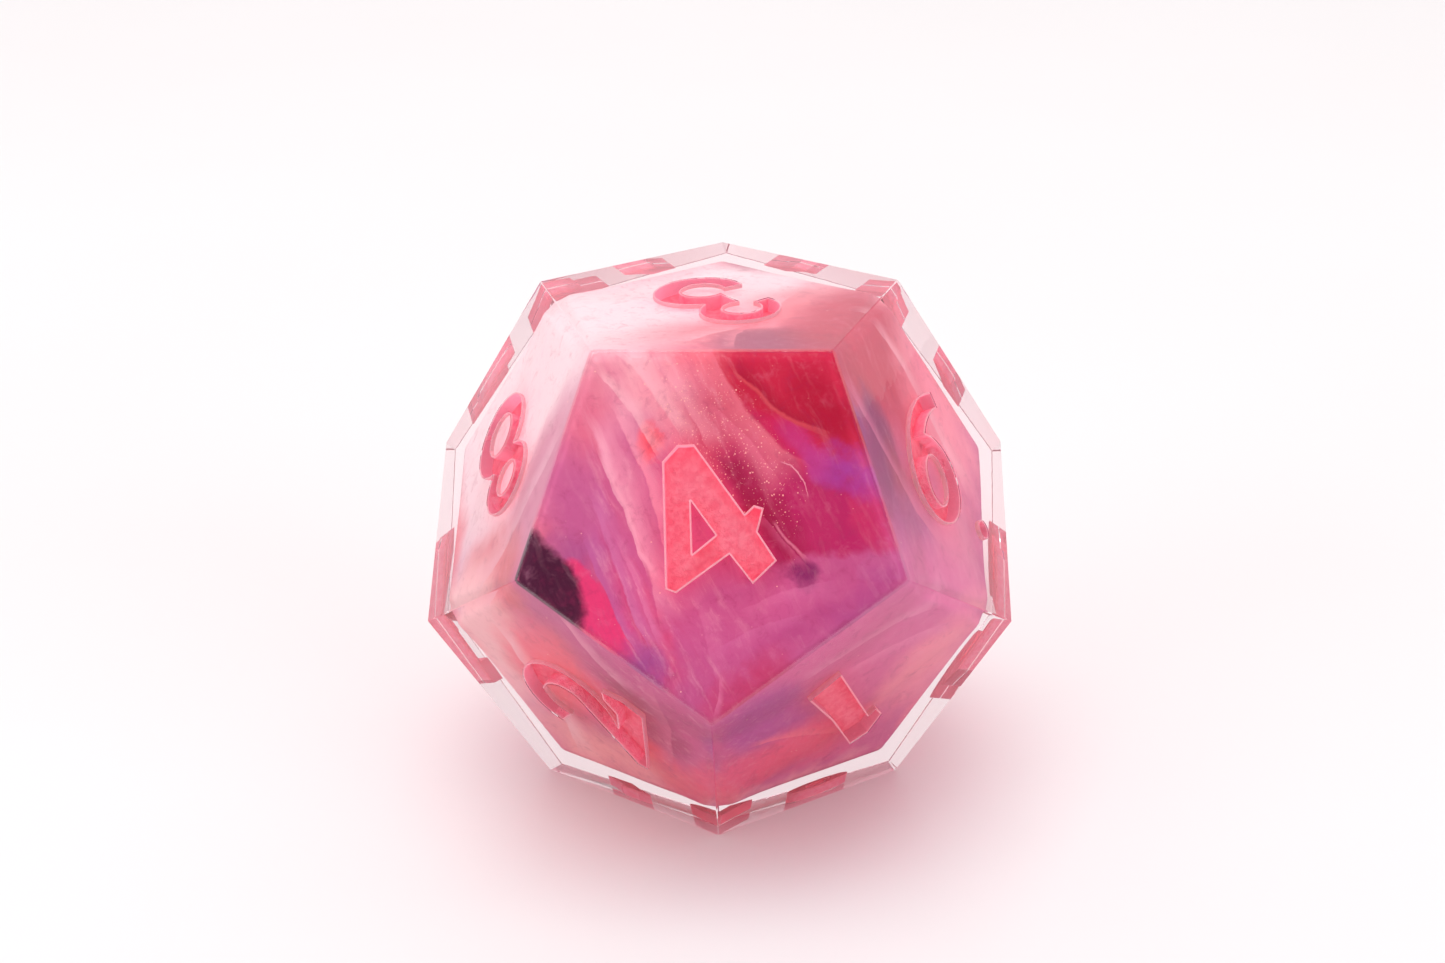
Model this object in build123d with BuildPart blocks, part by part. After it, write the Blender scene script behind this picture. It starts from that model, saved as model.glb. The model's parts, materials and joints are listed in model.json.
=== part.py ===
from build123d import *
from math import sqrt
import os

# A twelve-sided die: a regular dodecahedron that stands on one face.
# Origin: centre of the face it rests on. +Z is up, and the face numbered 4 leans towards -Y.

# ---- driving dimensions, mm ----
ACROSS_FLATS = 19.0  # between two opposite faces
EDGE_SOFTENING = 0.07  # radius left on the sharp edges after polishing
CLEAR_SKIN = 0.95  # clear resin between the faces and the coloured resin
CORE_ROUNDING = 0.6  # radius on the edges of the coloured resin
POCKET_DEPTH = 0.6  # engraving
PAINT_FILM = 0.05  # dried paint on the floor and walls of the engraving
PAINT_RECESS = 0.04  # how far the paint stays below the face

# ---- a dodecahedron's proportions ----
GOLDEN = (1 + sqrt(5)) / 2
INRADIUS = ACROSS_FLATS / 2
EDGE = INRADIUS / (GOLDEN**2 / (2 * sqrt(3 - GOLDEN)))
BLANK = 3 * INRADIUS  # a block that the faces are cut from
RING_TILT = 63.4349  # degrees between +Z and the normals of the upper ring of faces
CORNER_STEP = 72.0  # degrees between a face's corners, seen from its centre
CENTRE = Vector(0, 0, INRADIUS)

# ---- numerals, as shares of the edge length ----
DIGIT_HEIGHT = 0.65 * EDGE
PAIR_HEIGHT = 0.50 * EDGE
PAIR_SPREAD = 0.27 * EDGE  # from the face's centre to the middle of each of two digits
DOT_RADIUS = 0.045 * EDGE
DOT_PLACE = (0.40 * EDGE, -0.27 * EDGE)

# Each face's number: (the normal's tilt from +Z, its turn about +Z from -Y, the digits' lean
# from the face's own uphill, in steps of half a corner). Opposite faces add up to 13.
HALF_STEP = CORNER_STEP / 2
FACES = {
    3: (0, 0, -4),
    4: (RING_TILT, 0, 1),
    6: (RING_TILT, 72, -1),
    11: (RING_TILT, 144, 1),
    12: (RING_TILT, 216, -1),
    8: (RING_TILT, 288, -3),
    1: (180 - RING_TILT, 36, -4),
    5: (180 - RING_TILT, 108, 2),
    9: (180 - RING_TILT, 180, 0),
    7: (180 - RING_TILT, 252, -2),
    2: (180 - RING_TILT, 324, 2),
    10: (180, 0, 0),
}

# Where each colour was poured: the middle of a ball of colour, measured from the die's centre
# as shares of the inradius, and the ball's radius as a share of the inradius. A later pour
# stops where it meets an earlier one. What no ball reaches is the mauve resin.
POURS = {
    "plum_pour": ((-0.62, -0.66, 0.06), 0.32),
    "violet_pour": ((0.60, -0.52, 0.34), 0.34),
    "magenta_pour": ((0.10, -0.62, 0.20), 0.42),
    "crimson_pour": ((0.36, -0.50, 0.74), 0.52),
    "coral_pour": ((-0.46, 0.10, 0.52), 0.78),
}


def face_plane(number):
    """The plane of a face at its centre, with the numeral's own right and up as x and y."""
    tilt, turn, lean = FACES[number]
    normal = Vector(0, 0, 1).rotate(Axis.X, tilt).rotate(Axis.Z, turn)
    uphill = Vector(0, 1, 0).rotate(Axis.X, tilt).rotate(Axis.Z, turn)
    digit_up = uphill.rotate(Axis((0, 0, 0), normal), HALF_STEP * lean)
    return Plane(CENTRE + normal * INRADIUS, x_dir=digit_up.cross(normal), z_dir=normal)


# ---- digits, one unit tall, centred on the origin, of straight lines and arcs ----
def oval(x, y, x_radius, y_radius):
    """An oval about (x, y), of four arcs that meet without a corner."""
    long, short = max(x_radius, y_radius), min(x_radius, y_radius)
    end_radius = short**2 / long
    end_centre = long - end_radius
    side_radius = (end_centre**2 + short**2 - end_radius**2) / (2 * (short - end_radius))
    share = side_radius / (side_radius - end_radius)
    joint = (share * end_centre, short - side_radius + share * (side_radius - short))
    joint_x, joint_y = joint if x_radius > y_radius else joint[::-1]
    with BuildSketch() as shape:
        with BuildLine():
            ThreePointArc((joint_x, -joint_y), (x_radius, 0), (joint_x, joint_y))
            ThreePointArc((joint_x, joint_y), (0, y_radius), (-joint_x, joint_y))
            ThreePointArc((-joint_x, joint_y), (-x_radius, 0), (-joint_x, -joint_y))
            ThreePointArc((-joint_x, -joint_y), (0, -y_radius), (joint_x, -joint_y))
        make_face()
    return shape.sketch.locate(Location((x, y)))


def digit_0():
    with BuildSketch() as glyph:
        add(oval(0.00, 0.00, 0.31, 0.50))
        add(oval(0.00, 0.00, 0.12, 0.32), mode=Mode.SUBTRACT)
    return glyph.sketch


def digit_1():
    with BuildSketch() as glyph:
        with BuildLine():
            Polyline((-0.15, 0.38), (0.00, 0.49), (0.15, 0.47), (0.15, 0.00), (0.19, -0.46),
                     (-0.08, -0.50), (-0.07, 0.28), (-0.14, 0.25), close=True)
        make_face()
    return glyph.sketch


def digit_2():
    with BuildSketch() as glyph:
        with BuildLine():
            crown = ThreePointArc((-0.35, 0.20), (-0.01, 0.50), (0.33, 0.16))
            sweep = TangentArc(crown @ 1, (-0.02, -0.28), tangent=crown % 1)
            foot = Polyline(sweep @ 1, (0.16, -0.28), (0.26, -0.18), (0.36, -0.17),
                            (0.38, -0.34), (0.32, -0.50), (-0.38, -0.50), (-0.38, -0.42),
                            (0.04, -0.01))
            bowl = ThreePointArc(foot @ 1, (0.10, 0.22), (-0.04, 0.33))
            ThreePointArc(bowl @ 1, (-0.14, 0.26), (-0.19, 0.11))
            Line((-0.19, 0.11), crown @ 0)
        make_face()
    return glyph.sketch


def digit_3():
    with BuildSketch() as glyph:
        add(oval(-0.02, 0.25, 0.29, 0.25))
        add(oval(0.00, -0.22, 0.33, 0.28))
        add(oval(-0.04, 0.24, 0.14, 0.12), mode=Mode.SUBTRACT)
        add(oval(-0.03, -0.22, 0.16, 0.14), mode=Mode.SUBTRACT)
        with BuildLine():
            Polyline((-0.50, 0.16), (-0.10, 0.20), (-0.09, 0.08), (-0.09, -0.04),
                     (-0.10, -0.18), (-0.50, -0.16), close=True)
        make_face(mode=Mode.SUBTRACT)
    return glyph.sketch


def digit_4():
    with BuildSketch() as glyph:
        with BuildLine():
            Polyline((-0.05, 0.47), (0.09, 0.50), (0.18, 0.44), (0.18, -0.11), (0.26, -0.10),
                     (0.30, -0.15), (0.18, -0.25), (0.17, -0.47), (-0.04, -0.50),
                     (-0.05, -0.26), (-0.47, -0.26), (-0.51, -0.20), close=True)
        make_face()
        with BuildLine():
            Polyline((-0.05, 0.16), (-0.05, -0.11), (-0.24, -0.12), close=True)
        make_face(mode=Mode.SUBTRACT)
    return glyph.sketch


def digit_5():
    with BuildSketch() as glyph:
        add(oval(0.00, -0.18, 0.33, 0.32))
        add(oval(0.00, -0.18, 0.15, 0.17), mode=Mode.SUBTRACT)
        with BuildLine():
            Polyline((-0.50, 0.16), (-0.12, 0.16), (-0.08, 0.00), (-0.08, -0.26),
                     (-0.50, -0.26), close=True)
        make_face(mode=Mode.SUBTRACT)
        with BuildLine():
            Polyline((-0.24, 0.49), (0.26, 0.50), (0.29, 0.34), (-0.08, 0.33), (-0.06, 0.10),
                     (-0.06, -0.02), (-0.26, 0.00), close=True)
        make_face()
    return glyph.sketch


def digit_6():
    with BuildSketch() as glyph:
        add(oval(0.00, -0.18, 0.33, 0.32))
        with BuildLine():
            back = ThreePointArc((-0.33, -0.18), (-0.21, 0.24), (0.17, 0.50))
            tip = Line(back @ 1, (0.23, 0.40))
            front = ThreePointArc(tip @ 1, (0.01, 0.23), (-0.10, -0.05))
            Line(front @ 1, back @ 0)
        make_face()
        add(oval(0.01, -0.19, 0.14, 0.18), mode=Mode.SUBTRACT)
    return glyph.sketch


def digit_7():
    with BuildSketch() as glyph:
        with BuildLine():
            Polyline((-0.34, 0.49), (0.34, 0.50), (0.34, 0.40), (0.02, -0.50), (-0.19, -0.47),
                     (0.10, 0.31), (-0.22, 0.31), (-0.26, 0.20), (-0.35, 0.22), close=True)
        make_face()
    return glyph.sketch


def digit_8():
    with BuildSketch() as glyph:
        add(oval(0.00, 0.25, 0.28, 0.25))
        add(oval(0.00, -0.21, 0.33, 0.29))
        add(oval(0.00, 0.25, 0.13, 0.12), mode=Mode.SUBTRACT)
        add(oval(0.00, -0.22, 0.16, 0.15), mode=Mode.SUBTRACT)
    return glyph.sketch


def digit_9():
    return digit_6().rotate(Axis.Z, 180)


DIGITS = {"0": digit_0, "1": digit_1, "2": digit_2, "3": digit_3, "4": digit_4,
          "5": digit_5, "6": digit_6, "7": digit_7, "8": digit_8, "9": digit_9}


def numeral(number):
    """A number's outline at its real size, centred on its face."""
    digits = str(number)
    height = DIGIT_HEIGHT if len(digits) == 1 else PAIR_HEIGHT
    with BuildSketch() as outline:
        for place, digit in enumerate(digits):
            offset_x = (2 * place - len(digits) + 1) * PAIR_SPREAD
            with Locations((offset_x, 0)):
                add(DIGITS[digit]().scale(height))
    return outline.sketch


def dot():
    """The mark beside the foot of 6 and 9, which look alike upside down."""
    with BuildSketch() as outline:
        with Locations(DOT_PLACE):
            Circle(DOT_RADIUS)
    return outline.sketch


# ---- what is engraved: name of the paint piece, its face and its outline ----
engravings = [(f"numeral_{number}", number, numeral(number)) for number in FACES]
engravings += [(f"dot_{number}", number, dot()) for number in (6, 9)]

os.makedirs("parts", exist_ok=True)

# ---- the coloured resin as one block, before it is shared out between the pours ----
with BuildPart() as core:
    with Locations(CENTRE):
        Box(BLANK, BLANK, BLANK)
    for number in FACES:
        split(bisect_by=face_plane(number).offset(-CLEAR_SKIN), keep=Keep.BOTTOM)
    fillet(core.edges(), CORE_ROUNDING)

# ---- the clear casting: faces, engraving, and the space that the coloured resin fills ----
with BuildPart() as clear_shell:
    with Locations(CENTRE):
        Box(BLANK, BLANK, BLANK)
    for number in FACES:
        split(bisect_by=face_plane(number), keep=Keep.BOTTOM)
    fillet(clear_shell.edges(), EDGE_SOFTENING)
    add(core.part, mode=Mode.SUBTRACT)
    for name, number, outline in engravings:
        with BuildSketch(face_plane(number)):
            add(outline)
        extrude(amount=-POCKET_DEPTH, mode=Mode.SUBTRACT)
clear_shell.part.label = "clear_shell"
export_step(clear_shell.part, "parts/clear_shell.step")

# ---- the pours, each cut from what the ones before it left ----
remaining = core.part
for name, (middle, radius) in POURS.items():
    with BuildPart() as ball:
        with Locations(CENTRE + Vector(*middle) * INRADIUS):
            Sphere(radius * INRADIUS)
    with BuildPart() as pour:
        add(remaining)
        add(ball.part, mode=Mode.INTERSECT)
    pour.part.label = name
    export_step(pour.part, f"parts/{name}.step")
    with BuildPart() as rest:
        add(remaining)
        add(ball.part, mode=Mode.SUBTRACT)
    remaining = rest.part

with BuildPart() as mauve_pour:
    add(remaining)
mauve_pour.part.label = "mauve_pour"
export_step(mauve_pour.part, "parts/mauve_pour.step")

# ---- the paint: a thin pan that lines each pocket's floor and walls ----
for name, number, outline in engravings:
    with BuildPart() as inlay:
        with BuildSketch(face_plane(number).offset(-POCKET_DEPTH)):
            add(outline)
        extrude(amount=POCKET_DEPTH - PAINT_RECESS)
        with BuildSketch(face_plane(number).offset(PAINT_FILM - POCKET_DEPTH)):
            add(outline)
            offset(amount=-PAINT_FILM)
        extrude(amount=POCKET_DEPTH, mode=Mode.SUBTRACT)
    inlay.part.label = name
    export_step(inlay.part, f"parts/{name}.step")
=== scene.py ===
import itertools
import json
import math

import bmesh
import bpy
import numpy as np
from mathutils import Matrix, Quaternion, Vector
from mathutils.bvhtree import BVHTree


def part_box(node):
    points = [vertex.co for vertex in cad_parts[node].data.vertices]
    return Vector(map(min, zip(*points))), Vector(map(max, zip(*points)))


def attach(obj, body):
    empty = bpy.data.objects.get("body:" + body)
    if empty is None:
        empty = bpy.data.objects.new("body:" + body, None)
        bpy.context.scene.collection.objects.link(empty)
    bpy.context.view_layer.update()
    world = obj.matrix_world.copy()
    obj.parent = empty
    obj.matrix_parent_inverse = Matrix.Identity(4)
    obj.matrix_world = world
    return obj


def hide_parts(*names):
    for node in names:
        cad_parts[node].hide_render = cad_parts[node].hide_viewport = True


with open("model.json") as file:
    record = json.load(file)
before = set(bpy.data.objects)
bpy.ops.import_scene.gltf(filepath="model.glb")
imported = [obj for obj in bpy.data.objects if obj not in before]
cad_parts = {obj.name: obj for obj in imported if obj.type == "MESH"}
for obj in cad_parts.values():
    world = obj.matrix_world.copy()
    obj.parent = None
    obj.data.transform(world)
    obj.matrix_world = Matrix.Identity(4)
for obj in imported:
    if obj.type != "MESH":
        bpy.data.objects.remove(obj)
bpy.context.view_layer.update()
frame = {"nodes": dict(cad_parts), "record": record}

# ---- sizes, in metres, worked out from the frame ----
MM = 0.001
LOW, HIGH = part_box("clear_shell")
INRADIUS = (HIGH[2] - LOW[2]) / 2
CENTRE = Vector((0, 0, LOW[2] + INRADIUS))
GOLDEN = (1 + math.sqrt(5)) / 2
EDGE = INRADIUS * 2 * math.sqrt(3 - GOLDEN) / GOLDEN**2
MOUNTS = {m["name"]: m for m in frame["record"]["mounts"]}
NORMALS = np.array([MOUNTS[f"face_{n}"]["axis"] for n in range(1, 13)])
SKIN = INRADIUS - (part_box("mauve_pour")[1][2] - CENTRE.z)  # clear resin over the swirl
FRONT = 4  # the face whose colours come up nearest to the surface
POURS = ["mauve_pour", "coral_pour", "crimson_pour", "violet_pour", "magenta_pour", "plum_pour"]

# ---- camera, seen from the die's centre ----
CAMERA_TURN = math.radians(2.08)
CAMERA_RISE = math.radians(23.86)
CAMERA_DISTANCE = 11.132 * EDGE
LOOK_SIDE, LOOK_UP, ROLL = -0.00112, 0.01968, -0.01570  # radians
LENS, SENSOR = 60.3, 36.0  # millimetres, as Blender has them


# =====================================================================================
# Nodes
# =====================================================================================
def add(tree, kind, inputs=None, **settings):
    """A new shader node. inputs maps sockets to numbers, colours or other nodes' outputs."""
    made = tree.nodes.new("ShaderNode" + kind)
    for name, value in settings.items():
        setattr(made, name, value)
    for name, value in (inputs or {}).items():
        if isinstance(value, bpy.types.NodeSocket):
            tree.links.new(value, made.inputs[name])
        else:
            made.inputs[name].default_value = value
    return made


def maths(tree, operation, *values):
    """The result of a Math node."""
    return add(tree, "Math", dict(enumerate(values)), operation=operation).outputs[0]


def vectors(tree, operation, *values, output=0):
    """The result of a Vector Math node."""
    made = add(tree, "VectorMath", dict(enumerate(values)), operation=operation)
    return made.outputs[output]


def ramp(tree, value, low, high, to_low=0.0, to_high=1.0):
    """value carried smoothly from the range low..high to the range to_low..to_high."""
    made = add(tree, "MapRange", {"Value": value, "From Min": low, "From Max": high,
                                  "To Min": to_low, "To Max": to_high},
               interpolation_type="SMOOTHSTEP")
    return made.outputs[0]


def blend(tree, share, first, second):
    """Two colours mixed by share."""
    made = add(tree, "Mix", {0: share, 6: first, 7: second}, data_type="RGBA")
    return made.outputs[2]


def scaled(tree, vector, by):
    """A vector times a number."""
    made = add(tree, "VectorMath", {0: vector, "Scale": by}, operation="SCALE")
    return made.outputs[0]


def noise(tree, place, scale, detail=3.0, roughness=0.5, distortion=0.0):
    """A noise node's outputs. scale is about how many of its shapes fit in a millimetre."""
    made = add(tree, "TexNoise", {"Vector": place, "Scale": scale, "Detail": detail,
                                  "Roughness": roughness, "Distortion": distortion})
    return made.outputs


def drift(tree, place, scale, detail, roughness, reach):
    """How far noise carries a place off, as a vector in millimetres."""
    way = vectors(tree, "SUBTRACT", noise(tree, place, scale, detail, roughness)["Color"],
                  (0.5, 0.5, 0.5))
    return scaled(tree, way, reach)


def lit_through(tree, out, shader, tint):
    """Ends a material with a shader that lamp light passes straight through, tinted."""
    through = add(tree, "BsdfTransparent", {"Color": rgb(*tint)})
    lamp = add(tree, "LightPath").outputs["Is Shadow Ray"]
    mixed = add(tree, "MixShader", {0: lamp, 1: shader.outputs[0], 2: through.outputs[0]})
    tree.links.new(mixed.outputs[0], out.inputs["Surface"])


def new_material(name):
    """A material with an empty node tree and its output."""
    material = bpy.data.materials.new(name)
    material.use_nodes = True
    tree = material.node_tree
    tree.nodes.clear()
    return material, tree, add(tree, "OutputMaterial")


def in_millimetres(tree):
    """The place of a surface point in the die's frame, in millimetres."""
    return scaled(tree, add(tree, "TexCoord").outputs["Object"], 1 / MM)


def from_the_centre(tree, place):
    """A place measured from the die's centre, in millimetres."""
    return vectors(tree, "SUBTRACT", place, CENTRE / MM)


def rgb(red, green, blue):
    """A colour given as it looks on screen, 0 to 255, as the linear values that shaders take."""
    def linear(c):
        c /= 255
        return c / 12.92 if c <= 0.04045 else ((c + 0.055) / 1.055) ** 2.4
    return (linear(red), linear(green), linear(blue), 1.0)


# =====================================================================================
# Seeded noise for shapes
# =====================================================================================
def gradient_noise(points, seed):
    """Smooth noise in three dimensions, about -1 to 1, one value for each row of points."""
    rng = np.random.RandomState(seed)
    order = rng.permutation(256)
    slopes = rng.normal(size=(256, 3))
    slopes /= np.linalg.norm(slopes, axis=1)[:, None]
    cell = np.floor(points).astype(int)
    inside = points - cell
    fade = inside**3 * (inside * (inside * 6 - 15) + 10)
    total = np.zeros(len(points))
    for corner in itertools.product((0, 1), repeat=3):
        at = cell + corner
        pick = order[(order[(order[at[:, 0] % 256] + at[:, 1]) % 256] + at[:, 2]) % 256]
        weight = np.where(corner, fade, 1 - fade).prod(1)
        total += weight * (slopes[pick] * (inside - corner)).sum(1)
    return total * 1.6


# =====================================================================================
# Materials
# =====================================================================================
RESIN_IOR = 1.5
HAZIEST = 0.03  # roughness where the polish is poorest


def clear_resin():
    """Clear casting resin. Lamps reach through it without bending, which keeps it clean."""
    material, tree, out = new_material("clear_resin")
    place = in_millimetres(tree)
    haze = noise(tree, place, 0.6, 4.0, 0.6)["Fac"]
    ripple = noise(tree, place, 1.1, 2.0, 0.5)["Fac"]
    bump = add(tree, "Bump", {"Height": ripple, "Strength": 0.02, "Distance": 0.0001})
    glass = add(tree, "BsdfPrincipled", {
        "Base Color": rgb(255, 240, 243), "Transmission Weight": 1.0, "IOR": RESIN_IOR,
        "Roughness": ramp(tree, haze, 0.35, 0.75, 0.0, HAZIEST), "Normal": bump.outputs[0]})
    lit_through(tree, out, glass, (250, 240, 243))
    return material


def face_axes(number):
    """The normal of a face, and the directions to the right and uphill along it."""
    normal = Vector(MOUNTS[f"face_{number}"]["axis"])
    up = Vector((0, 0, 1)) - normal * normal.z if abs(normal.z) < 0.99 else Vector((0, 1, 0))
    up.normalize()
    return normal, up.cross(normal), up


def spread(tree, where, face, right, uphill, lean, size):
    """where, as seen from a place under a face: along the lean, across it to the left, outwards.

    right and uphill are in edges, lean is in degrees from the right, and size is one unit's
    length each way, in edges.
    """
    normal, rightward, up = face_axes(face)
    middle = normal * (INRADIUS - SKIN / 2) + (rightward * right + up * uphill) * EDGE
    along = rightward * math.cos(math.radians(lean)) + up * math.sin(math.radians(lean))
    away = vectors(tree, "SUBTRACT", where, middle / MM)
    return [vectors(tree, "DOT_PRODUCT", away, axis * MM / EDGE / unit, output=1)
            for axis, unit in zip((along, normal.cross(along), normal), size)]


# Each cloud of colour: the face it lies under, its middle there to the right and uphill, its half
# length and half width, its lean, how soft its rim is, how strong it is, and its colour.
CLOUDS = [
    (3, -0.35, 0.25, 0.95, 0.66, 20, 0.5, 1.0, (248, 236, 239)),
    (3, 0.46, 0.06, 0.36, 0.26, 60, 0.6, 0.8, (238, 112, 132)),
    (3, -0.10, -0.46, 0.40, 0.22, 0, 0.6, 0.8, (236, 118, 138)),
    (3, 0.34, -0.52, 0.30, 0.20, 0, 0.5, 0.9, (166, 70, 112)),
    (8, -0.15, 0.18, 0.80, 0.66, 30, 0.5, 1.0, (248, 232, 235)),
    (8, 0.50, 0.08, 0.36, 0.20, 90, 0.6, 0.9, (208, 122, 158)),
    (8, 0.40, -0.42, 0.32, 0.20, 30, 0.5, 0.9, (222, 104, 114)),
    (6, 0.00, 0.55, 0.50, 0.36, 0, 0.5, 1.0, (200, 58, 92)),
    (6, -0.44, 0.20, 0.26, 0.18, 50, 0.4, 1.0, (152, 50, 116)),
    (6, -0.58, 0.38, 0.16, 0.08, 70, 0.6, 0.6, (128, 56, 140)),
    (6, -0.36, -0.06, 0.22, 0.14, 90, 0.6, 0.8, (186, 58, 104)),
    (6, -0.48, -0.28, 0.30, 0.24, 0, 0.5, 0.9, (182, 84, 150)),
    (6, -0.05, -0.42, 0.30, 0.20, 20, 0.6, 0.9, (232, 136, 176)),
    (6, 0.42, 0.10, 0.40, 0.30, 80, 0.6, 0.9, (254, 156, 176)),
    (2, -0.52, 0.12, 0.50, 0.28, 80, 0.5, 1.0, (250, 200, 202)),
    (2, -0.14, 0.14, 0.36, 0.24, 60, 0.6, 1.0, (244, 108, 132)),
    (2, 0.42, 0.26, 0.40, 0.26, -60, 0.5, 0.9, (208, 86, 148)),
    (2, 0.36, 0.02, 0.24, 0.13, -70, 0.5, 0.8, (166, 44, 98)),
    (2, 0.20, -0.23, 0.20, 0.12, -30, 0.6, 0.9, (238, 84, 98)),
    (2, -0.12, -0.46, 0.44, 0.24, 0, 0.5, 1.0, (252, 184, 180)),
    (2, 0.42, -0.48, 0.24, 0.20, 0, 0.5, 0.8, (244, 106, 128)),
    (1, 0.00, 0.46, 0.70, 0.36, 0, 0.5, 0.9, (222, 108, 164)),
    (1, -0.44, 0.06, 0.30, 0.18, -50, 0.5, 0.9, (184, 74, 160)),
    (1, -0.14, -0.30, 0.46, 0.20, 0, 0.5, 1.0, (240, 92, 130)),
    (1, 0.46, 0.04, 0.30, 0.22, 70, 0.6, 0.9, (254, 160, 178)),
    (1, 0.00, -0.62, 0.70, 0.16, 0, 0.6, 0.9, (255, 204, 202)),
    (9, 0.30, 0.30, 0.60, 0.40, 30, 0.4, 1.0, (214, 40, 78)),
    (9, -0.40, -0.20, 0.50, 0.30, -60, 0.4, 0.9, (240, 110, 128)),
    (9, 0.10, -0.40, 0.30, 0.18, 10, 0.3, 1.0, (140, 44, 150)),
    (9, -0.46, 0.36, 0.24, 0.14, 60, 0.4, 0.9, (196, 40, 116)),
    (11, 0.20, 0.20, 0.60, 0.30, 60, 0.4, 1.0, (184, 26, 96)),
    (11, -0.40, 0.10, 0.40, 0.24, 80, 0.5, 0.9, (244, 136, 154)),
    (11, 0.16, -0.40, 0.30, 0.16, 20, 0.4, 0.9, (112, 30, 110)),
    (12, -0.20, 0.30, 0.60, 0.36, 20, 0.5, 1.0, (250, 196, 206)),
    (12, 0.36, 0.20, 0.40, 0.20, -60, 0.4, 0.9, (220, 44, 90)),
    (12, 0.30, -0.36, 0.40, 0.20, -30, 0.4, 0.9, (236, 84, 104)),
    (12, -0.36, -0.26, 0.30, 0.18, 40, 0.4, 0.9, (164, 60, 156)),
    (7, 0.20, 0.26, 0.50, 0.30, 0, 0.5, 0.9, (232, 70, 92)),
    (7, -0.30, -0.20, 0.36, 0.20, 40, 0.4, 0.9, (204, 40, 104)),
    (7, 0.20, -0.40, 0.30, 0.16, -20, 0.4, 0.9, (250, 176, 188)),
    (5, 0.00, 0.30, 0.50, 0.24, 30, 0.4, 1.0, (222, 50, 98)),
    (5, 0.30, -0.20, 0.34, 0.22, 0, 0.5, 0.9, (132, 52, 148)),
    (5, -0.40, -0.20, 0.34, 0.20, 60, 0.5, 0.9, (244, 140, 160)),
    (10, 0.10, 0.30, 0.60, 0.30, 20, 0.4, 0.9, (236, 90, 108)),
    (10, -0.30, -0.30, 0.40, 0.24, -30, 0.4, 0.9, (204, 54, 120)),
    (4, -0.42, 0.64, 0.56, 0.26, 10, 0.5, 1.0, (248, 204, 210)),
    (4, -0.02, 0.64, 0.26, 0.12, -30, 0.6, 1.0, (238, 118, 134)),
    (4, -0.60, 0.22, 0.40, 0.16, 70, 0.6, 1.0, (226, 122, 152)),
    (4, -0.50, -0.08, 0.34, 0.14, -70, 0.6, 1.0, (202, 104, 158)),
    (4, -0.22, 0.06, 0.40, 0.12, -70, 0.6, 0.9, (214, 120, 164)),
    (4, -0.10, 0.44, 0.26, 0.14, -45, 0.6, 0.9, (240, 156, 176)),
    (4, 0.14, 0.24, 0.30, 0.16, -55, 0.6, 0.9, (206, 70, 108)),
    (4, 0.40, 0.02, 0.40, 0.28, -60, 0.30, 1.0, (190, 36, 106)),
    (4, 0.25, 0.00, 0.26, 0.07, -58, 0.6, 0.8, (166, 22, 80)),
    (4, 0.42, 0.52, 0.42, 0.24, -30, 0.25, 1.0, (204, 34, 74)),
    (4, 0.48, 0.44, 0.18, 0.09, -50, 0.6, 0.95, (182, 4, 56)),
    (4, 0.36, 0.30, 0.24, 0.07, -32, 0.5, 0.8, (214, 36, 104)),
    (4, 0.64, 0.04, 0.24, 0.05, -70, 0.6, 0.8, (206, 52, 108)),
    (4, 0.55, 0.20, 0.13, 0.08, -30, 0.6, 0.9, (170, 68, 172)),
    (4, 0.43, 0.27, 0.13, 0.05, -35, 0.7, 0.7, (200, 66, 150)),
    (4, 0.46, -0.64, 0.80, 0.48, 14, 0.05, 0.95, (200, 94, 150)),
    (4, 0.70, -0.22, 0.12, 0.07, 10, 0.15, 0.8, (200, 100, 156)),
    (4, 0.32, -0.23, 0.11, 0.05, -20, 0.6, 0.9, (120, 20, 96)),
    (4, 0.60, -0.36, 0.18, 0.06, 40, 0.7, 0.5, (172, 68, 142)),
    (4, 0.34, -0.48, 0.18, 0.05, 30, 0.8, 0.5, (182, 68, 134)),
    (4, 0.16, -0.70, 0.18, 0.09, 40, 0.6, 0.9, (200, 62, 112)),
    (4, -0.56, -0.16, 0.14, 0.10, -20, 0.5, 0.8, (182, 92, 152)),
    (4, -0.25, 0.29, 0.13, 0.055, -68, 0.5, 1.0, (252, 96, 114)),
    (4, -0.32, -0.46, 0.26, 0.10, -60, 0.6, 0.9, (218, 80, 128)),
    (4, -0.50, -0.36, 0.30, 0.09, -52, 0.15, 1.0, (234, 66, 128)),
    (4, -0.75, -0.28, 0.28, 0.17, -50, 0.13, 1.0, (76, 12, 54)),
    (4, -0.27, -0.61, 0.10, 0.06, -40, 0.7, 0.8, (156, 82, 156)),
]

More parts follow.
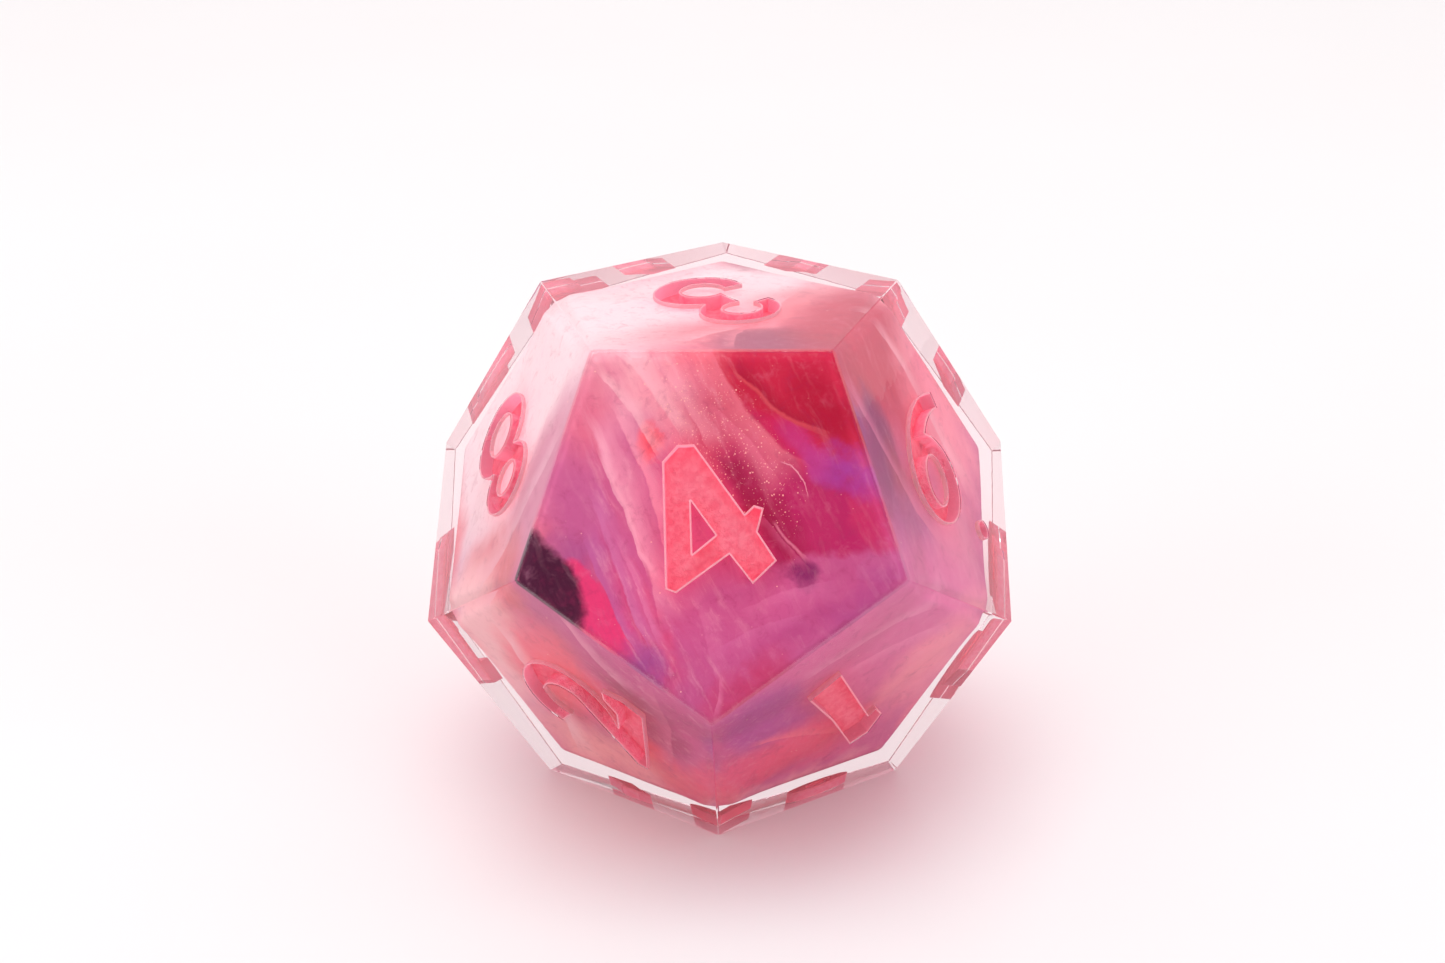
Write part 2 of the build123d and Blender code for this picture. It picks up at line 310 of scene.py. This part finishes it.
# Each veil: the face it lies under, where it starts and ends there, how far it bows to the left
# of its way, its width at both ends, how strong it is, and its colour. A veil is crisp along its
# line and fades away from it, to the left, or to the right where its widths are negative. One
# dark one is painted shade: the fold's shadow beside the fold line on the front.
VEILS_AND_PAINTED_SHADE = [
    (4, (-0.42, 0.72), (-0.10, 0.28), 0.02, 0.14, 0.10, 0.7, (250, 204, 212)),
    (4, (-0.30, 0.70), (0.00, 0.24), 0.03, 0.08, 0.12, 0.6, (246, 180, 194)),
    (4, (-0.50, 0.62), (-0.20, 0.20), 0.02, 0.06, 0.08, 0.6, (252, 214, 220)),
    (4, (-0.02, 0.74), (0.43, 0.18), -0.05, -0.12, -0.24, 0.85, (236, 132, 152)),
    (4, (-0.03, 0.50), (0.30, 0.12), 0.02, -0.06, -0.10, 0.6, (232, 130, 156)),
    # painted shade: a dark crimson shadow just above and right of the fold line
    (4, (0.06, 0.64), (0.52, 0.31), -0.04, 0.10, 0.06, 0.9, (174, 12, 58)),
    (4, (0.20, 0.03), (0.43, -0.23), -0.01, -0.05, -0.03, 0.5, (214, 100, 150)),
    (4, (-0.54, 0.44), (-0.20, -0.50), 0.03, 0.15, 0.12, 0.95, (240, 168, 194)),
    (4, (-0.44, 0.50), (-0.20, -0.10), 0.02, 0.10, 0.08, 0.8, (244, 176, 198)),
    (4, (-0.48, 0.30), (-0.26, -0.30), 0.01, 0.05, 0.04, 0.7, (250, 198, 214)),
    (4, (-0.36, 0.34), (-0.14, -0.34), 0.02, 0.04, 0.05, 0.6, (242, 164, 192)),
    (4, (-0.52, 0.14), (-0.20, -0.66), -0.03, 0.10, 0.10, 0.8, (208, 124, 178)),
    (4, (-0.56, -0.04), (-0.27, -0.64), -0.02, 0.10, 0.07, 0.9, (198, 108, 170)),
    (4, (-0.42, -0.06), (-0.20, -0.58), 0.00, 0.05, 0.05, 0.6, (224, 140, 186)),
    (4, (-0.12, -0.28), (0.02, -0.76), 0.03, 0.06, 0.10, 0.4, (216, 124, 172)),
    (4, (0.10, -0.40), (0.54, -0.26), 0.03, -0.08, -0.10, 0.5, (216, 122, 172)),
    (4, (0.00, -0.56), (0.44, -0.40), 0.03, -0.05, -0.08, 0.4, (212, 118, 172)),
    (4, (0.03, -0.66), (0.01, -0.84), 0.00, 0.03, 0.03, 0.6, (224, 130, 172)),
    (2, (0.14, 0.70), (0.36, 0.20), -0.02, 0.05, 0.14, 0.8, (236, 160, 190)),
    (2, (-0.40, 0.42), (-0.30, -0.60), 0.06, 0.12, 0.16, 0.6, (250, 222, 226)),
    (2, (0.52, 0.40), (0.30, -0.40), 0.05, -0.10, -0.16, 0.5, (228, 128, 168)),
    (1, (-0.40, 0.30), (0.40, 0.52), 0.05, 0.08, 0.12, 0.7, (236, 152, 190)),
    (1, (-0.10, 0.22), (0.50, 0.36), 0.04, -0.06, -0.12, 0.6, (238, 144, 188)),
    (1, (-0.52, -0.12), (0.10, -0.30), 0.05, 0.05, 0.10, 0.6, (250, 132, 152)),
    (3, (-0.20, -0.62), (0.36, 0.30), -0.10, 0.10, 0.20, 0.6, (250, 200, 210)),
    (3, (0.10, -0.66), (0.20, -0.20), 0.04, 0.06, 0.10, 0.7, (236, 142, 164)),
    (8, (0.56, 0.40), (0.30, -0.60), 0.06, -0.10, -0.20, 0.5, (236, 196, 210)),
    (6, (-0.50, 0.60), (-0.10, -0.60), -0.08, 0.08, 0.16, 0.6, (222, 126, 168)),
    (6, (0.10, 0.66), (0.30, -0.40), 0.06, 0.08, 0.16, 0.6, (248, 190, 204)),
    (9, (-0.30, 0.60), (0.20, -0.50), 0.10, 0.10, 0.20, 0.8, (250, 180, 196)),
    (9, (0.10, 0.60), (0.50, -0.20), -0.06, 0.06, 0.12, 0.7, (246, 150, 170)),
    (11, (-0.20, 0.60), (0.30, -0.50), 0.08, 0.10, 0.16, 0.8, (246, 160, 184)),
    (12, (-0.30, 0.50), (0.40, -0.40), -0.10, 0.08, 0.16, 0.8, (254, 214, 220)),
    (7, (-0.40, 0.30), (0.30, -0.40), 0.10, 0.08, 0.16, 0.8, (252, 170, 180)),
    (5, (-0.30, 0.50), (0.40, -0.30), 0.08, 0.08, 0.14, 0.8, (238, 140, 180)),
    (10, (-0.50, 0.20), (0.40, -0.20), 0.10, 0.10, 0.18, 0.8, (246, 150, 176)),
]

# Stripes are like veils, but crisp on both sides. The first ones run under the veils.
UNDER_STRIPES = [
    (4, (0.04, 0.30), (0.38, -0.25), -0.01, 0.05, 0.07, 0.65, (154, 18, 74)),
    (4, (-0.46, 0.00), (-0.20, -0.58), -0.03, 0.05, 0.06, 0.6, (200, 74, 136)),
]
STRIPES = [
    (4, (-0.52, 0.34), (-0.34, -0.10), 0.00, 0.025, 0.03, 0.5, (212, 104, 150)),
    (4, (0.07, 0.64), (0.52, 0.32), -0.04, 0.008, 0.016, 0.6, (236, 100, 108)),
    (4, (0.25, -0.01), (0.41, -0.19), -0.01, 0.008, 0.010, 0.7, (236, 150, 180)),
    (4, (0.28, 0.24), (0.41, 0.07), 0.025, 0.0036, 0.0025, 0.8, (250, 196, 212)),
]

# Fine threads, pearl and deep pink, drawn out along the left veils: their lean in degrees, and
# their noise's scale along them, as a share of that across them.
THREADS_LEAN = -64
THREADS_STRETCH = 0.10
THREADS = (3.4, 5.0, 0.62)  # the noise's scale, detail and roughness
# Where they thin out, in millimetres to the right, and from what strength to what.
THIN_TO_THE_RIGHT = (-1.5, 2.5, 1.0, 0.3)
THIN_TO_THE_LEFT = (-4.8, -3.8, 0.2, 1.0)

# Mica flecks: how many to the millimetre, how big a share of its cell each one fills, and how
# bright they are. They gather round one place, given as a cloud's is.
FLECKS = [(6.5, 0.22, 0.85), (3.4, 0.13, 0.95), (12.0, 0.28, 0.45)]
FLECK_PLACE = (4, 0.06, 0.32, 0.36, 0.15, -50)
FLECKS_THIN = (0.1, 2.6, 0.40, 0.93)  # from there outwards, the share of cells with no fleck
FLECK_COLOUR = (255, 208, 196)
FLECK_MIDDLE = 0.6  # how much of a fleck is at its full brightness

# How clouds are shaped, and how veils and stripes fade.
CLOUD_HEIGHT = 0.7  # a cloud's half depth, as a share of its half width
STRIPE_RIM = 1.1  # half widths from a stripe's line to where it has gone
VEIL_STEP, VEIL_AT_LINE = 10.0, 0.4  # how steeply a veil rises across its line, and from what
STARTS, ENDS = 5.0, 3.3  # how steeply a veil rises from its start, and falls to its end
HEIGHT_FALL, HEIGHT_MOST = -4.3, 1.5  # how it fades upwards and downwards, for each edge of height
NOT_ITSELF = 0.9  # above the cosine between any two faces' normals
# The front's colours come in a little past its edge: where its reach falls short of a neighbour's
# by the first of these, in millimetres, there are none of them, and by the second, all.
FRONT_BORDER = (-0.3, -0.18)

# How noise carries the clouds and the veils off: its scale, detail and roughness, and how far.
CLOUD_DRIFT = (0.55, 7.0, 0.58, 1.5)
VEIL_DRIFT = (0.5, 5.0, 0.58, 0.6)
GROUND = (204, 96, 150)  # the colour where no cloud lies


def sheet(tree, place, entry, stripe=False):
    """How much of a veil lies over each place, from 0 to 1."""
    face, start, end, bow, wide, wide_end, strength, _ = entry
    way = (end[0] - start[0], end[1] - start[1])
    lean = math.degrees(math.atan2(way[1], way[0]))
    along, across, height = spread(tree, place, face, *start, lean, (math.hypot(*way), 1, 1))
    rest = maths(tree, "SUBTRACT", 1.0, along)
    bend = maths(tree, "MULTIPLY", along, rest)
    across = maths(tree, "MULTIPLY_ADD", bend, -4 * bow, across)
    width = maths(tree, "MULTIPLY_ADD", along, wide_end - wide, wide)
    across = maths(tree, "DIVIDE", across, width)
    if stripe:
        amount = maths(tree, "SUBTRACT", STRIPE_RIM, maths(tree, "ABSOLUTE", across))
    else:
        rise = maths(tree, "MULTIPLY_ADD", across, VEIL_STEP, VEIL_AT_LINE)
        amount = maths(tree, "MINIMUM", rise, maths(tree, "SUBTRACT", 1.0, across))
    height = maths(tree, "ABSOLUTE", height)
    for limit in (maths(tree, "MULTIPLY", along, STARTS), maths(tree, "MULTIPLY", rest, ENDS),
                  maths(tree, "MULTIPLY_ADD", height, HEIGHT_FALL, HEIGHT_MOST)):
        amount = maths(tree, "MINIMUM", amount, limit)
    return ramp(tree, amount, 0, 1, 0, strength)


def in_front(tree, from_centre):
    """1 where the front face is the nearest one, and 0 elsewhere."""
    normal = face_axes(FRONT)[0]
    beside = 0.0
    for other in NORMALS:
        if 0 < normal.dot(other) < NOT_ITSELF:
            reach = vectors(tree, "DOT_PRODUCT", from_centre, Vector(other), output=1)
            beside = maths(tree, "MAXIMUM", beside, reach)
    reach = vectors(tree, "DOT_PRODUCT", from_centre, normal, output=1)
    return ramp(tree, maths(tree, "SUBTRACT", reach, beside), *FRONT_BORDER)


def swirl():
    """Pigmented resin: clouds of colour that drift into each other, under pearl veils and painted
    shade.
    """
    material, tree, out = new_material("swirl")
    place = in_millimetres(tree)
    from_centre = from_the_centre(tree, place)
    where = vectors(tree, "ADD", from_centre, drift(tree, place, *CLOUD_DRIFT))
    swayed = vectors(tree, "ADD", from_centre, drift(tree, place, *VEIL_DRIFT))

    layers = []
    for front in (False, True):
        colour = rgb(*GROUND)
        for face, right, uphill, length, width, lean, softness, strength, tint in CLOUDS:
            if (face == FRONT) is not front:
                continue
            size = (length, width, CLOUD_HEIGHT * width)
            away = 0.0
            for part in spread(tree, where, face, right, uphill, lean, size):
                away = maths(tree, "MULTIPLY_ADD", part, part, away)
            share = ramp(tree, away, (1 + softness)**2, (1 - softness)**2, 0, strength)
            colour = blend(tree, share, colour, rgb(*tint))
        for entry in UNDER_STRIPES + VEILS_AND_PAINTED_SHADE + STRIPES:
            if (entry[0] == FRONT) is front:
                amount = sheet(tree, swayed, entry, stripe=entry not in VEILS_AND_PAINTED_SHADE)
                colour = blend(tree, amount, colour, rgb(*entry[-1]))
        layers.append(colour)
    colour = blend(tree, in_front(tree, from_centre), *layers)

    # threads: noise drawn out along the left veils
    rightward, up = face_axes(FRONT)[1:]
    lean = math.radians(THREADS_LEAN)
    way = rightward * math.cos(lean) + up * math.sin(lean)
    along = vectors(tree, "DOT_PRODUCT", swayed, way, output=1)
    drawn = scaled(tree, scaled(tree, way, along), THREADS_STRETCH - 1)
    drawn = vectors(tree, "ADD", swayed, drawn)
    threads = noise(tree, drawn, *THREADS)["Fac"]
    sideways = vectors(tree, "DOT_PRODUCT", from_centre, rightward, output=1)
    thin = maths(tree, "MINIMUM", ramp(tree, sideways, *THIN_TO_THE_RIGHT),
                 ramp(tree, sideways, *THIN_TO_THE_LEFT))
    pale = maths(tree, "MULTIPLY", ramp(tree, threads, 0.50, 0.76, 0, 0.30), thin)
    colour = blend(tree, pale, colour, rgb(252, 206, 218))
    deep = maths(tree, "MULTIPLY", ramp(tree, threads, 0.48, 0.28, 0, 0.28), thin)
    colour = blend(tree, deep, colour, rgb(196, 70, 122))

    mist = noise(tree, place, 1.6, 8.0, 0.7, 0.6)["Fac"]
    colour = blend(tree, ramp(tree, mist, 0.5, 0.8, 0, 0.2), colour, rgb(240, 166, 196))
    colour = blend(tree, ramp(tree, mist, 0.5, 0.25, 0, 0.35), colour, rgb(160, 44, 96))

    near = 0.0
    face, right, uphill, length, width, lean = FLECK_PLACE
    for part in spread(tree, swayed, face, right, uphill, lean, (length, width, width)):
        near = maths(tree, "MULTIPLY_ADD", part, part, near)
    rare = ramp(tree, near, *FLECKS_THIN)
    for count, share, strength in FLECKS:
        cells = add(tree, "TexVoronoi", {"Vector": place, "Scale": count}).outputs
        shown = maths(tree, "GREATER_THAN", cells["Color"], rare)
        spot = ramp(tree, cells["Distance"], share, share * FLECK_MIDDLE, 0, strength)
        colour = blend(tree, maths(tree, "MULTIPLY", shown, spot), colour, rgb(*FLECK_COLOUR))
    shader = add(tree, "BsdfPrincipled", {
        "Base Color": colour, "Roughness": 0.45, "Specular IOR Level": 0.1})
    lit_through(tree, out, shader, (208, 144, 156))
    return material


def below_surface(tree, place):
    """How deep a place lies under the nearest face, in millimetres."""
    from_centre = from_the_centre(tree, place)
    nearest = 0.0
    for normal in NORMALS:
        reach = vectors(tree, "DOT_PRODUCT", from_centre, Vector(normal), output=1)
        nearest = maths(tree, "MAXIMUM", nearest, reach)
    return maths(tree, "SUBTRACT", INRADIUS / MM, nearest)


FLOOR_DEPTH = (0.40, 0.54)  # millimetres, from the paint's walls to its floor
RIM_DEPTH = (0.10, 0.05)  # millimetres, from its walls to its pale rim
SHOW_THROUGH = (0.2, 0.75)  # how translucent it is from the front, and from behind


def numeral_paint():
    """Coral paint brushed into the engraving, pale along the rim."""
    material, tree, out = new_material("numeral_paint")
    place = in_millimetres(tree)
    depth = below_surface(tree, place)
    strokes = noise(tree, place, 4.0, 4.0, 0.6, 0.2)["Fac"]
    grit = noise(tree, place, 11.0, 4.0, 0.65)["Fac"]
    floor = blend(tree, ramp(tree, strokes, 0.34, 0.68), rgb(246, 110, 136), rgb(255, 144, 164))
    floor = blend(tree, ramp(tree, grit, 0.56, 0.74, 0, 0.22), floor, rgb(250, 172, 188))
    wall = blend(tree, ramp(tree, strokes, 0.35, 0.65), rgb(252, 130, 162), rgb(255, 164, 186))
    colour = blend(tree, ramp(tree, depth, *FLOOR_DEPTH), wall, floor)
    colour = blend(tree, ramp(tree, depth, *RIM_DEPTH, 0, 0.8), colour, rgb(255, 190, 202))
    # the back of the paint, which shows through the clear rim, is painted a lighter pink: a
    # painted glow that stands in for the light behind it
    normal = add(tree, "TexCoord").outputs["Normal"]
    behind = vectors(tree, "DOT_PRODUCT", normal, from_the_centre(tree, place), output=1)
    behind = ramp(tree, behind, 0.5, -1.0)
    colour = blend(tree, behind, colour, rgb(255, 176, 196))
    height = maths(tree, "MULTIPLY_ADD", grit, 0.8, strokes)
    bump = add(tree, "Bump", {"Height": height, "Strength": 0.8, "Distance": 0.00012})
    paint = add(tree, "BsdfPrincipled", {
        "Base Color": colour, "Roughness": ramp(tree, grit, 0.3, 0.7, 0.5, 0.7),
        "Normal": bump.outputs[0]})
    back = add(tree, "BsdfTranslucent", {"Color": rgb(255, 200, 216)})
    share = ramp(tree, behind, 0, 1, *SHOW_THROUGH)
    paint = add(tree, "MixShader", {0: share, 1: paint.outputs[0], 2: back.outputs[0]})
    lit_through(tree, out, paint, (255, 224, 233))
    return material


def table_top():
    """A white table, a little uneven."""
    material, tree, out = new_material("table_top")
    grain = noise(tree, in_millimetres(tree), 0.02)["Fac"]
    colour = blend(tree, grain, rgb(245, 241, 242), rgb(241, 236, 237))
    shader = add(tree, "BsdfPrincipled", {"Base Color": colour, "Roughness": 0.6})
    tree.links.new(shader.outputs[0], out.inputs["Surface"])
    return material


# =====================================================================================
# Meshes
# =====================================================================================
FRONT_SKIN = 0.12 * MM
FRONT_ENDS = (38, 50)  # degrees off the front's normal where its thin skin ends and is all gone
BACK_SKIN = 1.55 * MM
BACK_STARTS = (68, 84)  # where the skin starts to thicken towards the back, and is thickest
INNER_SHARE = 0.4  # how near to the middle the inside of a pour reaches
BLUNT = 160  # how crisp the swirl's edges are
GRID = 84  # quads along each side of the blown-up cube that it is made from
WAVINESS = 0.008  # of the swirl's surface, as a share of the inradius
WAVE = 0.5  # the length of its waves, likewise
WAVE_SEED = 41
DIP = (0.34 * EDGE, 0.38 * EDGE)  # the hollow under the front numeral, half across and half up
DIP_MIDDLE = 0.04 * EDGE
DIP_RIM = 1.6  # where the hollow ends, in its own sizes
DIP_DEPTH = 0.72 * MM


def new_piece(name, points, faces, material):
    """A smooth-shaded mesh object."""
    mesh = bpy.data.meshes.new(name)
    mesh.from_pydata(points, [], faces)
    mesh.validate()
    mesh.shade_smooth()
    mesh.materials.append(material)
    piece = bpy.data.objects.new(name, mesh)
    bpy.context.scene.collection.objects.link(piece)
    return piece


INNER_DEPTH = 0.9  # of the skin's thickness: what is deeper than this belongs to the inner space


def clear_casting(material):
    """The casting without the walls of its inner space, since the resins are one body there."""
    piece = frame["nodes"]["clear_shell"].copy()
    piece.data = piece.data.copy()
    piece.name = piece.data.name = "clear_casting"
    bpy.context.scene.collection.objects.link(piece)
    shape = bmesh.new()
    shape.from_mesh(piece.data)
    inner = [v for v in shape.verts
             if max(NORMALS @ np.array(v.co - CENTRE)) < INRADIUS - INNER_DEPTH * SKIN]
    bmesh.ops.delete(shape, geom=inner, context="VERTS")
    shape.to_mesh(piece.data)
    shape.free()
    piece.data.materials.clear()
    piece.data.materials.append(material)
    return piece


def cube_sphere(count):
    """Unit directions and quads, count by count on each side of a cube blown up to a sphere."""
    steps = np.tan(np.linspace(-math.pi / 4, math.pi / 4, count + 1))
    across, along = np.meshgrid(steps, steps, indexing="ij")
    flat = np.stack([across.ravel(), along.ravel(), np.ones(across.size)], axis=1)
    grid = np.arange((count + 1) ** 2).reshape(count + 1, count + 1)
    quads = np.stack([grid[:-1, :-1], grid[1:, :-1], grid[1:, 1:], grid[:-1, 1:]], axis=-1)
    sides = [flat[:, order] * sign for order, sign in (
        ([0, 1, 2], (1, 1, 1)), ([1, 0, 2], (1, 1, -1)), ([2, 0, 1], (1, 1, 1)),
        ([2, 1, 0], (-1, 1, 1)), ([1, 2, 0], (1, 1, 1)), ([0, 2, 1], (1, -1, 1)))]
    points = np.concatenate(sides)
    faces = np.concatenate([quads.reshape(-1, 4) + len(flat) * i for i in range(6)])
    _, first, same = np.unique(np.round(points * 1e6).astype(int), axis=0,
                               return_index=True, return_inverse=True)
    points = points[first]
    return points / np.linalg.norm(points, axis=1)[:, None], same.ravel()[faces]


def smooth(values, low, high):
    """0 below low, 1 above high, and a smooth rise between them."""
    share = np.clip((values - low) / (high - low), 0, 1)
    return share * share * (3 - 2 * share)


def swirl_outside():
    """Points and quads of the pigmented resin's outside: a dodecahedron under the clear skin.

    The skin is thinnest at the front. The resin keeps clear of every numeral, so the front dips
    under the one there.
    """
    ways, quads = cube_sphere(GRID)
    reach = np.maximum(ways @ NORMALS.T, 0)
    nearest = reach.max(1)
    crisp = ((reach / nearest[:, None])**BLUNT).sum(1) ** (1 / BLUNT)
    outer = ways * (INRADIUS / nearest / crisp)[:, None]

    normal, right, up = (np.array(axis) for axis in face_axes(FRONT))
    from_front = np.degrees(np.arccos(np.clip(ways @ normal, -1, 1)))
    skin = FRONT_SKIN + (SKIN - FRONT_SKIN) * smooth(from_front, *FRONT_ENDS)
    skin += (BACK_SKIN - SKIN) * smooth(from_front, *BACK_STARTS)
    off = np.hypot((outer @ right - DIP_MIDDLE) / DIP[0], outer @ up / DIP[1])
    dip = (1 - smooth(off, 1, DIP_RIM)) * (from_front < FRONT_ENDS[1])
    skin = np.maximum(skin, FRONT_SKIN + (DIP_DEPTH - FRONT_SKIN) * dip)
    waves = 1 + gradient_noise(outer / INRADIUS / WAVE, WAVE_SEED)
    skin += WAVINESS * INRADIUS * waves.clip(0, 2)
    return outer * (1 - skin / INRADIUS)[:, None], quads


def share_out(points, quads):
    """For each quad, the number of the pour that it belongs to: the nearest one in the frame."""
    middles = points[quads].mean(1)
    middles *= ((INRADIUS - SKIN) / (middles @ NORMALS.T).max(1))[:, None]
    distances = []
    for name in POURS:
        node = frame["nodes"][name]
        tree = BVHTree.FromPolygons([node.matrix_world @ v.co for v in node.data.vertices],
                                    [p.vertices for p in node.data.polygons])
        distances.append([tree.find_nearest(CENTRE + Vector(m))[3] for m in middles])
    owner = np.argmin(distances, axis=0)
    # where a pour's patches touch at a corner only, the quads there go to one pour
    around = [[] for _ in points]
    for number, quad in enumerate(quads):
        for corner in quad:
            around[corner].append(number)
    touching = True
    while touching:
        touching = False
        for corner, near in enumerate(around):
            if len(set(owner[near])) < 2:
                continue
            for pour in set(owner[near]):
                ends = [end for number in near if owner[number] == pour
                        for end in beside_corner(quads[number], corner)]
                if sum(ends.count(end) == 1 for end in set(ends)) > 2:
                    owner[near] = pour
                    touching = True
                    break
    return owner


def beside_corner(quad, corner):
    """The quad's corners before and after one of its corners."""
    place = list(quad).index(corner)
    return int(quad[place - 1]), int(quad[(place + 1) % 4])


def pour_body(name, points, quads, material):
    """One pour: its share of the outside, walls that lead inwards, and a smaller inside."""
    used, corners = np.unique(quads, return_inverse=True)
    outside = corners.reshape(quads.shape)
    count = len(used)
    inside = outside[:, ::-1] + count
    sides = {(int(q[i]), int(q[(i + 1) % 4])) for q in outside for i in range(4)}
    rim = [(a, b) for a, b in sides if (b, a) not in sides]
    walls = [(b, a, a + count, b + count) for a, b in rim]
    both = np.concatenate([points[used], points[used] * INNER_SHARE]) + np.array(CENTRE)
    piece = new_piece(name, both.tolist(), outside.tolist() + inside.tolist() + walls, material)
    sharp = {frozenset(side) for side in rim}
    sharp |= {frozenset((a + count, b + count)) for a, b in rim}
    for edge in piece.data.edges:
        edge.use_edge_sharp = frozenset(edge.vertices) in sharp
    return piece


# =====================================================================================
# The die
# =====================================================================================
WELD = 0.001 * MM
PAINT_BED = 0.01 * MM  # how far the paint bites into the clear resin


def build_die():
    casting = clear_casting(clear_resin())
    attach(casting, "root")
    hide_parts("clear_shell")

    material = swirl()
    points, quads = swirl_outside()
    owner = share_out(points, quads)
    for number, pour in enumerate(POURS):
        piece = pour_body(pour.replace("pour", "swirl"), points, quads[owner == number], material)
        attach(piece, "root")
        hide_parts(pour)

    paint = numeral_paint()
    for name, node in frame["nodes"].items():
        if not name.startswith(("numeral_", "dot_")):
            continue
        node.data.materials.clear()
        node.data.materials.append(paint)
        weld = node.modifiers.new("weld", "WELD")
        weld.merge_threshold = WELD
        bed = node.modifiers.new("bed", "DISPLACE")
        bed.mid_level = 0
        bed.strength = PAINT_BED


FLOOR_REACH = 2  # metres each way
TENT_COLOUR = (254, 252, 252)
TENT_LIGHT = 0.695
TENT_OPENING = Vector((0, -0.872, 0.490))  # the way that the front face mirrors
OPENING_ANGLES = (40, 14)  # degrees off that way, where it starts to darken and is darkest
OPENING_LIGHT = 0.3  # as a share of the tent's
BACK_LIGHT = 0.95  # behind the die
BACK_SPREAD = (0.25, 0.75)  # the cosine off straight back where that starts, and where it is whole
BACKDROP_LIGHT = 0.93  # as the camera sees the tent

# Each lamp: its name, its place and size in metres, and its power in watts.
LAMPS = [
    ("top", (-0.05, 0.02, 0.60), 0.45, 1.6),
    ("left", (-0.60, -0.40, 0.16), 0.50, 1.7),
    ("right", (0.55, -0.45, 0.16), 0.50, 1.8),
]


def stage():
    corners = [(x * FLOOR_REACH, y * FLOOR_REACH, 0)
               for x, y in ((-1, -1), (1, -1), (1, 1), (-1, 1))]
    floor = new_piece("floor", corners, [(0, 1, 2, 3)], table_top())
    world = bpy.data.worlds.new("studio")
    bpy.context.scene.world = world
    world.use_nodes = True
    tree = world.node_tree
    tree.nodes.clear()
    # a white tent, brighter behind the die, with an opening at the front
    way = add(tree, "TexCoord").outputs["Generated"]
    aside = vectors(tree, "DOT_PRODUCT", way, TENT_OPENING, output=1)
    dark = ramp(tree, aside, *(math.cos(math.radians(angle)) for angle in OPENING_ANGLES))
    strength = ramp(tree, dark, 0, 1, TENT_LIGHT, TENT_LIGHT * OPENING_LIGHT)
    behind = vectors(tree, "DOT_PRODUCT", way, Vector((0, 1, 0)), output=1)
    strength = ramp(tree, behind, *BACK_SPREAD, strength, BACK_LIGHT)
    seen = add(tree, "LightPath").outputs["Is Camera Ray"]
    strength = ramp(tree, seen, 0, 1, strength, BACKDROP_LIGHT)
    light = add(tree, "Background", {"Color": rgb(*TENT_COLOUR), "Strength": strength})
    out = add(tree, "OutputWorld")
    tree.links.new(light.outputs[0], out.inputs["Surface"])
    for name, place, size, power in LAMPS:
        lamp = bpy.data.lights.new(name, "AREA")
        lamp.size, lamp.energy = size, power
        holder = bpy.data.objects.new(name, lamp)
        holder.location = place
        holder.rotation_euler = (Vector(place) - CENTRE).to_track_quat("Z", "Y").to_euler()
        bpy.context.scene.collection.objects.link(holder)


def camera():
    away = Vector((math.sin(CAMERA_TURN) * math.cos(CAMERA_RISE),
                   -math.cos(CAMERA_TURN) * math.cos(CAMERA_RISE), math.sin(CAMERA_RISE)))
    back = away.copy()
    right = Vector((0, 0, 1)).cross(back).normalized()
    up = back.cross(right)
    turn = Quaternion(up, LOOK_SIDE)
    back, right = turn @ back, turn @ right
    turn = Quaternion(right, LOOK_UP)
    back, up = turn @ back, turn @ up
    turn = Quaternion(back, ROLL)
    right, up = turn @ right, turn @ up
    lens = bpy.data.cameras.new("camera")
    lens.lens, lens.sensor_width = LENS, SENSOR
    lens.clip_start = MM
    holder = bpy.data.objects.new("camera", lens)
    facing = Matrix((right, up, back)).transposed().to_4x4()
    facing.translation = CENTRE + away * CAMERA_DISTANCE
    holder.matrix_world = facing
    bpy.context.scene.collection.objects.link(holder)
    bpy.context.scene.camera = holder


camera()
stage()
build_die()
bpy.context.scene.view_settings.view_transform = "Standard"
light_paths = bpy.context.scene.cycles
light_paths.max_bounces = light_paths.transmission_bounces = 24
light_paths.diffuse_bounces = 6
